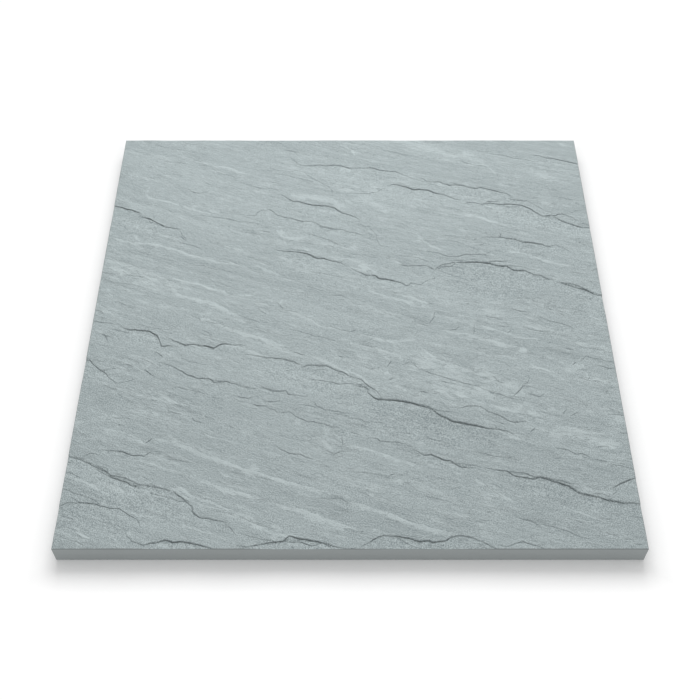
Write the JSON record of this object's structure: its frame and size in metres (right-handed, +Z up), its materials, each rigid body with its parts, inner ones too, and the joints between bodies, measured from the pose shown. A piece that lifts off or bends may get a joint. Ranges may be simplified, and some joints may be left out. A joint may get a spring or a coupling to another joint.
{
  "type": "sandstone paving slab",
  "caption": "Square paving slab of grey sandstone with a riven upper face, sawn edges and a flat bed.",
  "frame": {"origin": "middle of the flat bed, on the surface that the slab lies on", "axes": "+Z up through the thickness, out of the riven face; +X along the front edge to the right; +Y away from the viewer, to the back edge"},
  "size_m": [0.6, 0.6, 0.025],
  "materials": {
    "grey_sandstone": "matt, riven face and sawn edges"
  },
  "bodies": {
    "root": {"paving_slab": "grey_sandstone"}
  },
  "joints": []
}
